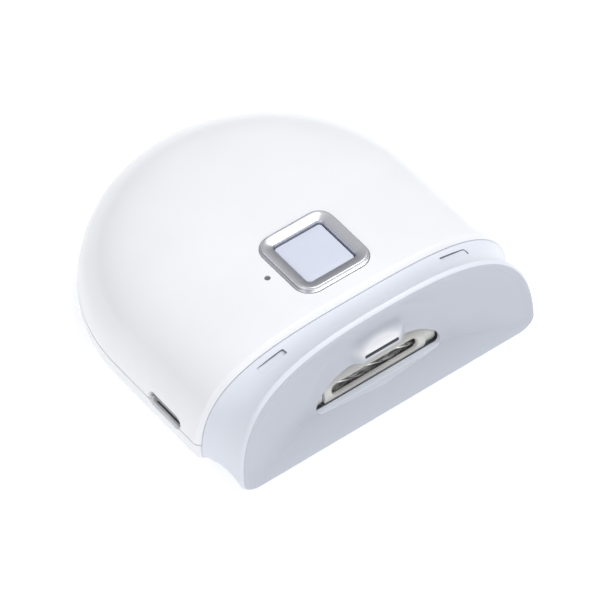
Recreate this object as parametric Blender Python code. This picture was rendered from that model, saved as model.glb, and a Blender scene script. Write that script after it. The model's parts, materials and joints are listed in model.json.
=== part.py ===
"""Electric nail trimmer: a palm-sized, rechargeable, D-shaped grinder for nails.

Run it with blender --background --python part.py.  The model is in metres, +Z up.
The device stands on four feet at z = 0, its centre line is x = 0, its working end
faces -Y, and y = 0 is half way between the front rim and the round back.

All the sizes below are in millimetres.  "Depth" is measured backwards from the front
rim, so a point at depth s lies at y = s - DEPTH / 2.
"""

import math

import bmesh
import bpy
from mathutils import Matrix, Vector

MM = 0.001

# Driving sizes of the body
WIDTH = 77.0                # across the straight sides
DEPTH = 77.0                # front rim to the round back
HALF = WIDTH / 2
BACK_CENTRE = DEPTH - HALF  # depth of the centre of the half-round back
BODY_FRONT = 11.4           # depth of the shells' front edge
BODY_TOP = 24.5
BODY_BASE = 0.8
SPLIT_Z = 6.3               # where the top and bottom shells meet
WALL = 2.0
GAP = 0.3                   # between neighbouring pieces
RUNNING = 0.06              # radial clearance of a turning shaft
BIG = 200.0

# An outline is half of a D-shaped cross-section, from the middle of its base to the
# middle of its top: a flat base, a lower corner, the widest point and one long curve.
BODY_OUTLINE = dict(half=HALF, top=BODY_TOP, base=BODY_BASE, widest=4.6, rise=19.6,
                    crown=20.0, flat=34.5, lower=2.0, drop=3.0)
RIM_OUTLINE = dict(half=35.9, top=27.7, base=0.35, widest=3.5, rise=22.6,
                   crown=17.5, flat=31.5, lower=2.0, drop=2.25)
CAVITY_OUTLINE = dict(half=HALF - 3.4, top=BODY_TOP - 3.4, base=BODY_BASE + 3.4, widest=6.5,
                      rise=16.0, crown=20.0, flat=27.0, lower=5.5, drop=1.6)
OUTLINE_LOW = 5
OUTLINE_TOP = 9
BACK_STEPS = 24

# Front cap
NECK_INSET = 1.0            # how far the cap's neck lies inside the shells' outline
SKIRT_INSET = WALL + GAP
SKIRT_END = 14.3
RIM_TILT = 0.10             # the rim leans back by this much per unit of height
RIM_INNER = 1.9
SCOOP_RADIUS = 18.0
SCOOP_BASE = 5.9            # height of the slot's lower edge
FLOOR_DEPTH = 4.4           # depth of the funnel's floor
FLOOR_WALL = 1.0
FLOOR_TILT = 0.07           # the funnel's floor leans back too
SLOT_HALF = 15.2
SLOT_TOP = 14.2
CAVITY_BASE = 2.7
MARK_X = 22.0
MARK_DEPTH = 9.0
MARK_HALF = (3.2, 0.85)
MAGNET_RADIUS = 2.0

# Drive train: depth and height of each axis, all of them along X
CUTTER = (9.9, 7.2)
IDLER_Z = 11.6
MOTOR_Z = 10.4
MODULE = 0.7
CUTTER_TEETH = 10
IDLER_TEETH = 22
PINION_TEETH = 9
GEAR_X = (16.2, 18.6)
DRUM_RADIUS = 3.3
DRUM_HALF = 11.8
SHAFT_RADIUS = 1.0
GUARD_RADIUS = 4.6
GUARD_WALL = 0.9
CHEEK_X = (12.5, 15.0)
CHEEK_RADIUS = 4.0
BEARING_RADIUS = 2.6
BULKHEAD = (15.0, 17.0)
MOTOR_RADIUS = 7.75
MOTOR_FLAT = 6.0
COVER_X = (19.6, 20.8)
COVER_POSTS = ((9.5, 13.9), (31.0, 16.8), (36.8, 5.4))

# Button, board, port and battery
RING_DEPTH = 24.5
RING_HALF = 8.65
RING_CORE = 4.9             # half side of the square that the ring's corners turn about
RING_WINDOW = 5.95
COLLAR_HALF = 6.5           # the part of the ring that stands in the top shell's window
COLLAR_BASE = BODY_TOP - WALL - 0.2
BUTTON_HALF = 5.65
BUTTON_FLANGE = 6.3
BUTTON_TOP = 24.2
BOARD_Z = (19.0, 20.0)
BOARD_POSTS = ((-9.8, 20.2), (9.8, 20.2), (-9.8, 43.5), (9.8, 43.5))
LED_SPOT = (-11.1, 24.8)
PORT_DEPTH = 22.2
PORT_Z = 7.25
BATTERY = (55.5, 10.4)
BATTERY_RADIUS = 7.0
BATTERY_HALF = 24.0
SHELL_SCREWS = ((-29.5, 36.0), (29.5, 36.0), (-13.0, 67.5), (13.0, 67.5))
FEET = ((-24.0, 19.0), (24.0, 19.0), (-20.0, 60.0), (20.0, 60.0))
MAGNET_DEPTH = 13.2         # rear face of the cap's magnets
LENS_DEPTH = 5.95
MAGNETS = ((-27.5, 11.5), (27.5, 11.5))


# ---------------------------------------------------------------- materials
def material(name, colour, roughness, metallic=0.0):
    """A Principled material, made once for each name."""
    mat = bpy.data.materials.get(name)
    if mat is None:
        mat = bpy.data.materials.new(name)
        mat.use_nodes = True
        shader = mat.node_tree.nodes["Principled BSDF"]
        shader.inputs["Base Color"].default_value = (*colour, 1.0)
        shader.inputs["Roughness"].default_value = roughness
        shader.inputs["Metallic"].default_value = metallic
    return mat


def white_plastic():
    return material("white_gloss_plastic", (0.83, 0.84, 0.88), 0.22)


def lavender_plastic():
    return material("lavender_satin_plastic", (0.52, 0.56, 0.72), 0.38)


def warm_grey_plastic():
    return material("warm_grey_plastic", (0.47, 0.46, 0.42), 0.45)


def frame_plastic():
    return material("pale_frame_plastic", (0.44, 0.44, 0.41), 0.5)


def satin_chrome():
    return material("satin_chrome", (0.72, 0.73, 0.76), 0.2, 1.0)


def button_plastic():
    return material("button_plastic", (0.70, 0.71, 0.80), 0.4)


def steel():
    return material("steel", (0.45, 0.45, 0.47), 0.3, 1.0)


def dark_steel():
    return material("cutter_steel", (0.10, 0.10, 0.11), 0.35, 1.0)


def acetal():
    return material("gear_acetal", (0.80, 0.80, 0.76), 0.45)


def circuit_board():
    return material("circuit_board", (0.02, 0.16, 0.07), 0.5)


def black_plastic():
    return material("black_plastic", (0.02, 0.02, 0.022), 0.4)


def clear_plastic():
    return material("diffuser_plastic", (0.85, 0.87, 0.92), 0.2)


def cell_wrap():
    return material("cell_wrap", (0.05, 0.16, 0.42), 0.35)


def grey_foam():
    return material("grey_foam", (0.12, 0.12, 0.13), 0.95)


def grey_rubber():
    return material("grey_rubber", (0.28, 0.28, 0.30), 0.8)


def magnet_nickel():
    return material("magnet_nickel", (0.62, 0.61, 0.58), 0.25, 1.0)


# ---------------------------------------------------------------- basic solids
def place(x, s, z):
    """The point at x, depth s and height z, in metres."""
    return Vector((x * MM, (s - DEPTH / 2) * MM, z * MM))


def helper(bm):
    """A hidden object that holds one closed form until finish() makes it a piece."""
    bmesh.ops.recalc_face_normals(bm, faces=bm.faces)
    mesh = bpy.data.meshes.new("form")
    bm.to_mesh(mesh)
    bm.free()
    obj = bpy.data.objects.new("form", mesh)
    bpy.context.collection.objects.link(obj)
    obj.hide_render = True
    obj.display_type = "WIRE"
    return obj


def prism(axis, outline, low, high):
    """An outline in the two other axes, extruded along the named axis."""
    bm = bmesh.new()
    order = {"X": lambda a, b, t: (t, a, b), "Y": lambda a, b, t: (a, t, b),
             "Z": lambda a, b, t: (a, b, t)}[axis]
    start = [bm.verts.new(place(*order(a, b, low))) for a, b in outline]
    end = [bm.verts.new(place(*order(a, b, high))) for a, b in outline]
    bm.faces.new(start)
    bm.faces.new(end)
    count = len(outline)
    for i in range(count):
        j = (i + 1) % count
        bm.faces.new((start[i], start[j], end[j], end[i]))
    return helper(bm)


def rectangle(a, b):
    return [(a[0], b[0]), (a[1], b[0]), (a[1], b[1]), (a[0], b[1])]


def box(x, s, z):
    return prism("Z", rectangle(x, s), z[0], z[1])


def circle(centre, radius, sides=24, start=0.0, sweep=2 * math.pi):
    """Points on a circle, or on an arc with both its ends."""
    steps = sides if sweep == 2 * math.pi else sides + 1
    return [(centre[0] + radius * math.cos(start + sweep * i / sides),
             centre[1] + radius * math.sin(start + sweep * i / sides)) for i in range(steps)]


def rounded(a, b, radius, steps=3):
    """A rectangle with round corners; a and b are its low and high sides."""
    points = []
    corners = ((a[1] - radius, b[1] - radius), (a[0] + radius, b[1] - radius),
               (a[0] + radius, b[0] + radius), (a[1] - radius, b[0] + radius))
    for quarter, corner in enumerate(corners):
        points += circle(corner, radius, steps, quarter * math.pi / 2, math.pi / 2)
    return points


def rod(axis, centre, radius, low, high, sides=24):
    return prism(axis, circle(centre, radius, sides), low, high)


def loft(rings, closed=False):
    """A skin over rings of equally many points, capped at both ends or closed in a loop."""
    bm = bmesh.new()
    loops = [[bm.verts.new(place(*point)) for point in ring] for ring in rings]
    pairs = list(zip(loops, loops[1:]))
    if closed:
        pairs.append((loops[-1], loops[0]))
    else:
        bm.faces.new(loops[0])
        bm.faces.new(loops[-1])
    for first, second in pairs:
        for i in range(len(first)):
            j = (i + 1) % len(first)
            bm.faces.new((first[i], first[j], second[j], second[i]))
    return helper(bm)


def modify(obj, other, operation):
    step = obj.modifiers.new(operation.lower(), "BOOLEAN")
    step.operation = operation
    step.object = other
    step.solver = "EXACT"


def finish(name, base, mat, plus=(), minus=(), axis_point=None):
    """Turn a hidden form into the named piece: join the plus forms, cut the minus forms."""
    base.name = name
    base.data.name = name
    base.hide_render = False
    base.display_type = "TEXTURED"
    base.data.materials.append(mat)
    for other in plus:
        modify(base, other, "UNION")
    for other in minus:
        modify(base, other, "DIFFERENCE")
    if axis_point is not None:
        shift = place(*axis_point)
        base.data.transform(Matrix.Translation(-shift))
        base.location = shift
    base.data.shade_smooth()
    base.data.set_sharp_from_angle(angle=math.radians(35))
    return base


# ---------------------------------------------------------------- D-shaped outlines
def bezier(p0, p1, p2, p3, steps):
    """Points of a cubic curve, without its first point."""
    points = []
    for i in range(1, steps + 1):
        t = i / steps
        u = 1 - t
        points.append(tuple(u ** 3 * a + 3 * u * u * t * b + 3 * u * t * t * c + t ** 3 * d
                            for a, b, c, d in zip(p0, p1, p2, p3)))
    return points


def half_outline(half, top, base, widest, rise, crown, flat, lower, drop):
    """The right half of a cross-section as (x, z), from its base up to its top."""
    points = [(0.0, base), (flat, base)]
    points += bezier((flat, base), (flat + lower, base), (half, widest - drop),
                     (half, widest), OUTLINE_LOW)
    points += bezier((half, widest), (half, widest + rise), (crown, top), (0.0, top),
                     OUTLINE_TOP)
    return points


def inset(points, distance):
    """A half outline moved inwards; its two end points stay on the centre line."""
    moved = []
    last = len(points) - 1
    for i, (x, z) in enumerate(points):
        before = points[max(i - 1, 0)]
        after = points[min(i + 1, last)]
        along = Vector((after[0] - before[0], after[1] - before[1])).normalized()
        moved.append((x - along.y * distance if 0 < i < last else 0.0,
                      z + along.x * distance if i else z + distance))
    return moved


def whole(points):
    """Both halves of an outline as one loop."""
    return points + [(-x, z) for x, z in points[-2:0:-1]]


def body_form(distance, front, lip=0.0):
    """The body's outer form moved inwards by a distance, from a front depth to the back.

    The half outline runs straight back along both sides and turns about a vertical
    axis at the back, so every height has a half-round end.  A lip bevels the front edge.
    """
    profile = inset(half_outline(**BODY_OUTLINE), distance)
    bevelled = inset(half_outline(**BODY_OUTLINE), distance + lip * 0.6)
    stations = [(front, bevelled), (front + lip, profile)] if lip else [(front, profile)]
    stations.append((BACK_CENTRE, profile))
    bm = bmesh.new()
    rows = [[(x, depth, z) for x, z in outline] for depth, outline in stations]
    for i in range(1, BACK_STEPS):
        turn = math.pi * i / BACK_STEPS
        rows.append([(x * math.cos(turn), BACK_CENTRE + x * math.sin(turn), z)
                     for x, z in profile])
    rows += [[(-x, depth, z) for x, z in outline] for depth, outline in reversed(stations)]
    grid = [[bm.verts.new(place(*point)) for point in row] for row in rows]
    for left, right in zip(grid, grid[1:]):
        for i in range(len(left) - 1):
            bm.faces.new((left[i], left[i + 1], right[i + 1], right[i]))
    bm.faces.new(grid[0] + grid[-1][::-1])
    bmesh.ops.remove_doubles(bm, verts=bm.verts, dist=0.001 * MM)
    bmesh.ops.dissolve_degenerate(bm, edges=bm.edges, dist=0.001 * MM)
    return helper(bm)


def roof_height(x, s):
    """Height of the body's outer top over a point of the plan."""
    reach = math.hypot(x, max(s - BACK_CENTRE, 0.0))
    outline = half_outline(**BODY_OUTLINE)[OUTLINE_LOW + 1:]
    for (x0, z0), (x1, z1) in zip(outline, outline[1:]):
        if x1 <= reach <= x0:
            return z0 + (z1 - z0) * (x0 - reach) / (x0 - x1)
    return SPLIT_Z


def half_space(low, high):
    return box((-BIG, BIG), (-BIG, BIG), (low, high))


# ---------------------------------------------------------------- shells
def port_notch():
    """The rounded opening for the charging port, across the split on the left side."""
    return prism("X", rounded((PORT_DEPTH - 5.4, PORT_DEPTH + 5.4),
                              (PORT_Z - 1.7, PORT_Z + 1.7), 1.6, 4), -BIG, -33.0)


def top_shell():
    roof = BODY_TOP - WALL
    outer = body_form(0.0, BODY_FRONT, 0.8)
    bosses = []
    for x, s in SHELL_SCREWS:
        top = roof_height(abs(x) + 2.2, s + 2.2) - 0.7
        bosses.append(rod("Z", (x, s), 2.6, SPLIT_Z + GAP / 2, top, 14))
    pegs = [rod("Z", spot, 1.9, BOARD_Z[1] + GAP, roof + 1, 12) for spot in BOARD_POSTS]
    pilots = [rod("Z", spot, 1.0, 0, 14, 10) for spot in SHELL_SCREWS]
    pilots += [rod("Z", spot, 0.85, 0, roof - 0.2, 10) for spot in BOARD_POSTS]
    seat = ring_square(RING_HALF + 0.15, BODY_TOP - 0.85, BODY_TOP + 5)
    window = ring_square(COLLAR_HALF + 0.25, 0, BODY_TOP + 5)
    hollow = body_form(WALL, BODY_FRONT - 5)
    below = half_space(-BIG, SPLIT_Z + GAP / 2)
    pinhole = rod("Z", LED_SPOT, 0.75, 15, BODY_TOP + 5, 12)
    finish("top_shell", outer, white_plastic(), minus=[hollow, below])
    for form in bosses + pegs:
        modify(outer, form, "UNION")
    for form in [seat, window, port_notch(), pinhole] + pilots:
        modify(outer, form, "DIFFERENCE")


def bottom_shell():
    floor = BODY_BASE + WALL
    outer = body_form(0.0, BODY_FRONT, 0.8)
    hollow = body_form(WALL, BODY_FRONT - 5)
    above = half_space(SPLIT_Z - GAP / 2, BIG)
    finish("bottom_shell", outer, white_plastic(), minus=[hollow, above])
    for spot in SHELL_SCREWS:
        modify(outer, rod("Z", spot, 2.8, floor - 1, SPLIT_Z - GAP / 2, 16), "UNION")
    for x in (-17.5, 17.5):
        rib = box((x - 0.8, x + 0.8), (BATTERY[0] - 8.2, BATTERY[0] + 8.2), (floor - 1, 8.4))
        modify(outer, rib, "UNION")
    modify(outer, rod("X", BATTERY, BATTERY_RADIUS + GAP, -22, 22, 32), "DIFFERENCE")
    for x in (-32.0, -26.0):
        modify(outer, rod("Z", (x, 28.0), 1.4, floor - 1, 3.9, 12), "UNION")
    for spot in SHELL_SCREWS:
        modify(outer, rod("Z", spot, 1.25, -1, BIG, 12), "DIFFERENCE")
        modify(outer, rod("Z", spot, 2.4, -1, 2.5, 16), "DIFFERENCE")
    for spot in FEET:
        modify(outer, rod("Z", spot, 3.8, -1, 1.6, 20), "DIFFERENCE")
    modify(outer, port_notch(), "DIFFERENCE")


def feet():
    for number, spot in enumerate(FEET, 1):
        finish(f"foot_{number}", rod("Z", spot, 3.5, 0.0, 1.35, 20), grey_rubber())


def screw(name, axis, centre, head, tip, head_radius=2.0, shank=0.75, head_length=1.1):
    """A cross-head screw from its head's outer face to its tip."""
    way = 1 if tip > head else -1
    collar = head + way * head_length
    body = rod(axis, centre, head_radius, *sorted((head, collar)), 12)
    thread = rod(axis, centre, shank, *sorted((collar - way * 0.2, tip)), 8)
    slots = []
    width = head_radius * 0.16
    for long_way in (0, 1):
        half = [width, width]
        half[long_way] = head_radius * 0.6
        reach = [(middle - size, middle + size) for middle, size in zip(centre, half)]
        slots.append(prism(axis, rectangle(*reach), *sorted((head - way, head + way * 0.5))))
    finish(name, body, steel(), plus=[thread], minus=slots)


def shell_screws():
    for number, spot in enumerate(SHELL_SCREWS, 1):
        screw(f"shell_screw_{number}", "Z", spot, 1.0, 12.0)


# ---------------------------------------------------------------- front cap
def scoop_outline(radius, base):
    """A half disc on a flat base, with as many points as a body outline."""
    middle = SCOOP_BASE
    corner = 1.2
    turn = math.asin(min((base + corner - middle) / radius, 0.99))
    side = (radius * math.cos(turn), middle + radius * math.sin(turn))
    points = [(0.0, base), (side[0] - corner, base)]
    points += bezier(points[-1], (side[0] - corner / 2, base), (side[0], base + corner / 2),
                     side, OUTLINE_LOW)
    for i in range(1, OUTLINE_TOP + 1):
        angle = turn + (math.pi / 2 - turn) * i / OUTLINE_TOP
        points.append((radius * math.cos(angle), middle + radius * math.sin(angle)))
    points[-1] = (0.0, middle + radius)
    return points


def blend(first, second, amount):
    return [tuple(a + (b - a) * amount for a, b in zip(p, q)) for p, q in zip(first, second)]


def lift(outline, depth, tilt=0.0):
    """Give a half outline its depth and make it a whole ring."""
    return [(x, depth + tilt * z, z) for x, z in whole(outline)]


def floor_depth(z):
    return FLOOR_DEPTH + FLOOR_TILT * (z - SCOOP_BASE)


def cap_rings():
    """Rings from the end of the skirt, out over the flare and rim, and into the funnel."""
    body = half_outline(**BODY_OUTLINE)
    rim = half_outline(**RIM_OUTLINE)
    neck = inset(body, NECK_INSET)
    shoulder = BODY_FRONT - GAP
    rings = [lift(inset(body, SKIRT_INSET), SKIRT_END), lift(inset(body, SKIRT_INSET), shoulder)]
    flare_steps = 7
    for i in range(flare_steps + 1):
        t = i / flare_steps
        depth = shoulder + (0.9 - shoulder) * t
        waist = 3 * t - 2 * t * t
        flare = t ** 1.8
        ring = [(a[0] + (b[0] - a[0]) * waist, a[1] + (b[1] - a[1]) * flare)
                for a, b in zip(neck, rim)]
        rings.append(lift(ring, depth, RIM_TILT * t))
    front = -RIM_TILT * (RIM_OUTLINE["base"] + 0.95)
    for edge, depth in ((0.25, 0.35), (0.95, front), (1.5, 0.15), (RIM_INNER, 0.75)):
        rings.append(lift(inset(rim, edge), depth, RIM_TILT))
    inner = inset(rim, RIM_INNER)
    crease = scoop_outline(SCOOP_RADIUS, SCOOP_BASE)
    funnel_steps = 5
    for i in range(1, funnel_steps + 1):
        t = i / funnel_steps
        ring = []
        for x, z in whole(blend(inner, crease, t)):
            high = min(max((z - 4.0) / 8.0, 0.0), 1.0)
            end = floor_depth(z) - 1.1 * high
            way = (1 - high) * t + high * math.sin(t * math.pi / 2)
            start = 0.75 + RIM_TILT * z
            ring.append((x, start + (end - start) * way, z))
        rings.append(ring)
    for radius, depth in ((17.3, 0.65), (15.4, 0.25), (12.0, 0.0)):
        ring = []
        for x, z in whole(scoop_outline(radius, SCOOP_BASE + (SCOOP_RADIUS - radius) * 0.12)):
            high = min(max((z - 4.0) / 8.0, 0.0), 1.0)
            ring.append((x, floor_depth(z) - depth * high, z))
        rings.append(ring)
    return rings


def slot_outline():
    """The half-moon slot as (x, z): a flat base and a shallow arch between round ends."""
    base = SCOOP_BASE
    right = bezier((SLOT_HALF - 1.0, base), (SLOT_HALF + 0.6, base + 0.1),
                   (SLOT_HALF + 0.2, base + 3.2), (SLOT_HALF - 2.4, base + 5.0), 5)
    right += bezier(right[-1], (SLOT_HALF - 5.0, base + 7.4), (6.0, SLOT_TOP), (0.0, SLOT_TOP), 5)
    half = [(SLOT_HALF - 1.0, base)] + right
    return half + [(-x, z) for x, z in half[-2::-1]]


def hood_forms():
    """The work light's brow above the slot, and the opening under it."""
    brow = []
    for half, low, high, depth in ((5.9, 14.5, 20.2, 5.4), (5.7, 14.55, 19.4, 4.4),
                                   (5.4, 14.6, 18.6, 3.7), (5.0, 14.65, 17.7, 3.4)):
        brow.append([(x, depth, z) for x, z in rounded((-half, half), (low, high), 0.9)])
    opening = prism("Y", rounded((-4.1, 4.1), (15.15, 16.05), 0.44), 1.0, 8.0)
    return loft(brow), opening


def cap_marks():
    """Two shallow rectangular recesses on top of the cap, close to its seam."""
    neck = inset(half_outline(**BODY_OUTLINE), NECK_INSET)
    marks = []
    for (x0, z0), (x1, z1) in zip(neck, neck[1:]):
        if z0 > SPLIT_Z and x1 <= MARK_X <= x0:
            height = z0 + (z1 - z0) * (x0 - MARK_X) / (x0 - x1)
            slope = math.atan2(z1 - z0, x0 - x1)
            for side in (-1, 1):
                form = box((-MARK_HALF[0], MARK_HALF[0]),
                           (MARK_DEPTH - MARK_HALF[1], MARK_DEPTH + MARK_HALF[1]), (-0.35, 3.0))
                form.data.transform(Matrix.Rotation(side * slope, 4, "Y"))
                form.data.transform(Matrix.Translation((side * MARK_X * MM, 0, height * MM)))
                marks.append(form)
    return marks


def front_cap():
    cap = loft(cap_rings())
    outline = half_outline(**CAVITY_OUTLINE)
    cavity = loft([[(x, floor_depth(z) + FLOOR_WALL, z) for x, z in whole(outline)],
                   lift(outline, SKIRT_END + 5)])
    low = (FLOOR_DEPTH + 0.8, SCOOP_BASE - 0.6)
    wedge = [(low[0], SCOOP_BASE + 2), low, (low[0] + (CAVITY_BASE - low[1]) * 0.816, CAVITY_BASE),
             (SKIRT_END + 5, CAVITY_BASE), (SKIRT_END + 5, SCOOP_BASE + 2)]
    cuts = [cavity, prism("X", wedge, -21.2, 21.2)]
    cuts.append(rod("X", CUTTER, GUARD_RADIUS + GAP, -CHEEK_X[0], CHEEK_X[0], 40))
    cuts.append(prism("Y", slot_outline(), 1.0, 9.0))
    brow, opening = hood_forms()
    posts = []
    pockets = []
    for spot in MAGNETS:
        posts.append(rod("Y", spot, 3.1, FLOOR_DEPTH, MAGNET_DEPTH, 16))
        pockets.append(rod("Y", spot, MAGNET_RADIUS + 0.2, MAGNET_DEPTH - 2.0, 20.0, 16))
    lens_room = box((-5.3, 5.3), (LENS_DEPTH - 0.25, 9.0), (14.3, 17.0))
    finish("front_cap", cap, lavender_plastic(), plus=[brow], minus=cuts)
    for form in posts:
        modify(cap, form, "UNION")
    for form in pockets + [opening, lens_room] + cap_marks():
        modify(cap, form, "DIFFERENCE")


def magnets():
    for side, spot in zip(("left", "right"), MAGNETS):
        front = rod("Y", spot, MAGNET_RADIUS, MAGNET_DEPTH - 1.75, MAGNET_DEPTH, 16)
        rear = rod("Y", spot, MAGNET_RADIUS, BULKHEAD[0] + 0.1, BULKHEAD[0] + 1.3, 16)
        finish(f"cap_magnet_{side}", front, magnet_nickel())
        finish(f"frame_magnet_{side}", rear, magnet_nickel())


# ---------------------------------------------------------------- button and light
def ring_square(half, low, high):
    """An upright prism over a square whose corners turn about the ring's inner square."""
    return prism("Z", [(x, RING_DEPTH + y) for x, y in square(half)], low, high)


def square(half, steps=5):
    return rounded((-half, half), (-half, half), half - RING_CORE, steps)


def button_bezel():
    crest = BODY_TOP + 0.95
    profile = [(RING_HALF, BODY_TOP - 0.6), (RING_HALF, BODY_TOP - 0.05), (8.35, BODY_TOP + 0.1),
               (8.2, BODY_TOP + 0.5), (7.85, crest - 0.1), (7.4, crest), (6.8, crest - 0.12),
               (6.2, crest - 0.42), (RING_WINDOW, crest - 0.8), (RING_WINDOW, COLLAR_BASE),
               (COLLAR_HALF, COLLAR_BASE), (COLLAR_HALF, BODY_TOP - 0.6)]
    rings = [[(x, RING_DEPTH + y, z) for x, y in square(half)] for half, z in profile]
    finish("button_bezel", loft(rings, closed=True), satin_chrome())


def power_button():
    flange = (COLLAR_BASE - GAP - 0.5, COLLAR_BASE - GAP)
    bottom = ring_square(BUTTON_FLANGE, *flange)
    top = []
    for half, z in ((BUTTON_HALF, flange[0] + 0.2), (BUTTON_HALF, BUTTON_TOP - 0.3),
                    (BUTTON_HALF - 0.25, BUTTON_TOP)):
        top.append([(x, RING_DEPTH + y, z) for x, y in square(half)])
    pivot = (0.0, RING_DEPTH, flange[0])
    piece = finish("power_button", bottom, button_plastic(), axis_point=pivot)
    modify(piece, loft(top), "UNION")
    plunger = rod("Z", (0.0, RING_DEPTH), 1.3, BOARD_Z[1] + 0.6, flange[0] - 0.2, 16)
    finish("switch_plunger", plunger, black_plastic(), axis_point=pivot)


def switch_parts():
    base = BOARD_Z[1] + 0.2
    top = base + 0.65
    housing = box((-2.6, 2.6), (RING_DEPTH - 2.6, RING_DEPTH + 2.6), (base, top))
    bore = rod("Z", (0.0, RING_DEPTH), 1.6, 15, 30, 16)
    finish("tact_switch", housing, black_plastic(), minus=[bore])
    pipe = rod("Z", LED_SPOT, 0.6, top + 0.3, BODY_TOP - 0.45, 12)
    finish("indicator_light_pipe", pipe, clear_plastic())
    led = box((LED_SPOT[0] - 0.8, LED_SPOT[0] + 0.8), (LED_SPOT[1] - 0.5, LED_SPOT[1] + 0.5),
              (base, top))
    finish("status_led", led, clear_plastic())


# ---------------------------------------------------------------- boards, port, battery
def main_board():
    board = prism("Z", rounded((-14.6, 14.6), (BULKHEAD[1] + GAP, 46.5), 2.0), *BOARD_Z)
    holes = [rod("Z", spot, 1.0, 10, 30, 12) for spot in BOARD_POSTS]
    finish("main_board", board, circuit_board(), minus=holes)
    chip = box((-3.0, 3.0), (35.0, 40.0), (BOARD_Z[1] + 0.2, BOARD_Z[1] + 1.2))
    finish("control_chip", chip, black_plastic())
    for number, spot in enumerate(BOARD_POSTS, 1):
        screw(f"board_screw_{number}", "Z", spot, BOARD_Z[0] - 1.1, BOARD_Z[1] + 2.0, 1.6, 0.6, 0.85)


def charging_port():
    left = -35.2
    right = -28.8
    depth = (PORT_DEPTH - 4.5, PORT_DEPTH + 4.5)
    height = (PORT_Z - 1.45, PORT_Z + 1.45)
    outer = prism("X", rounded(depth, height, 1.3), left, right)
    wall = 0.3
    hollow = prism("X", rounded((depth[0] + wall, depth[1] - wall),
                                (height[0] + wall, height[1] - wall), 1.0), left - 1, right - wall)
    finish("charging_port_shell", outer, steel(), minus=[hollow])
    tongue = box((left + 0.8, right - wall - 0.2), (PORT_DEPTH - 3.3, PORT_DEPTH + 3.3),
                 (PORT_Z - 0.3, PORT_Z + 0.3))
    finish("charging_port_tongue", tongue, black_plastic())
    board = prism("Z", rounded((-34.0, -22.0), (BULKHEAD[1] + GAP, 30.0), 1.0), 4.15, 5.15)
    finish("charging_board", board, circuit_board())
    chip = box((-27.0, -24.0), (25.0, 28.5), (5.35, 6.5))
    finish("charging_chip", chip, black_plastic())


def battery():
    cell = rod("X", BATTERY, BATTERY_RADIUS, -BATTERY_HALF, BATTERY_HALF, 32)
    finish("battery_cell", cell, cell_wrap())
    for side, way in (("left", -1), ("right", 1)):
        reach = sorted((way * (BATTERY_HALF + 0.2), way * (BATTERY_HALF + 0.5)))
        tab = box(reach, (BATTERY[0] - 2.5, BATTERY[0] + 2.5), (BATTERY[1] - 2.5, BATTERY[1] + 4.0))
        finish(f"battery_tab_{side}", tab, magnet_nickel())
    pad = box((-12.0, 12.0), (BATTERY[0] - 4.5, BATTERY[0] + 4.5),
              (BATTERY[1] + BATTERY_RADIUS + GAP, BODY_TOP - WALL - 3.0))
    finish("battery_foam_pad", pad, grey_foam())


# ---------------------------------------------------------------- gears
def pitch_radius(teeth):
    return MODULE * teeth / 2


def axis_after(start, height, first, second):
    """The axis at a height that sets two gears in mesh, behind the starting axis."""
    reach = pitch_radius(first) + pitch_radius(second)
    return (start[0] + math.sqrt(reach ** 2 - (height - start[1]) ** 2), height)


IDLER = axis_after(CUTTER, IDLER_Z, CUTTER_TEETH, IDLER_TEETH)
MOTOR = axis_after(IDLER, MOTOR_Z, IDLER_TEETH, PINION_TEETH)


def gear_outline(centre, teeth, first_tooth):
    """Involute teeth with 20 degree flanks, a little backlash and rounded-down tips."""
    pressure = math.radians(20)
    pitch = pitch_radius(teeth)
    base = pitch * math.cos(pressure)
    tip = pitch + 0.8 * MODULE
    root = pitch - 1.15 * MODULE
    half = math.pi / (2 * teeth) - 0.05 / pitch

    def involute(radius):
        angle = math.acos(min(base / radius, 1.0))
        return math.tan(angle) - angle

    def half_angle(radius):
        return half + involute(pitch) - involute(max(radius, base))

    flank = [root] + ([base] if base > root else []) + [pitch, tip]
    points = []
    for tooth in range(teeth):
        middle = first_tooth + 2 * math.pi * tooth / teeth
        rising = [(radius, middle - half_angle(radius)) for radius in flank]
        falling = [(radius, middle + half_angle(radius)) for radius in reversed(flank)]
        points += [(centre[0] + radius * math.cos(angle), centre[1] + radius * math.sin(angle))
                   for radius, angle in rising + falling]
    return points


def heading(start, end):
    return math.atan2(end[1] - start[1], end[0] - start[0])


def gears():
    """Three gears in mesh at rest: cutter, idler and motor pinion."""
    to_idler = heading(CUTTER, IDLER)
    to_motor = heading(IDLER, MOTOR)
    idler_pitch = 2 * math.pi / IDLER_TEETH
    pinion_pitch = 2 * math.pi / PINION_TEETH
    idler_first = to_idler + math.pi + idler_pitch / 2
    share = ((to_motor - idler_first) / idler_pitch) % 1.0
    pinion_first = to_motor + math.pi + (share + 0.5) * pinion_pitch
    bore = SHAFT_RADIUS + RUNNING
    trains = (("cutter_gear", CUTTER, CUTTER_TEETH, to_idler, acetal()),
              ("idler_gear", IDLER, IDLER_TEETH, idler_first, acetal()),
              ("motor_pinion", MOTOR, PINION_TEETH, pinion_first, steel()))
    for name, centre, teeth, first, mat in trains:
        wheel = prism("X", gear_outline(centre, teeth, first), *GEAR_X)
        hole = rod("X", centre, bore, 0, 40, 24)
        forms = [hole]
        if teeth == IDLER_TEETH:
            for i in range(4):
                angle = math.pi * i / 2
                spot = (centre[0] + 4.2 * math.cos(angle), centre[1] + 4.2 * math.sin(angle))
                forms.append(rod("X", spot, 1.4, 0, 40, 8))
        finish(name, wheel, mat, axis_point=(0.0, *centre))
        for form in forms:
            modify(bpy.data.objects[name], form, "DIFFERENCE")


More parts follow.
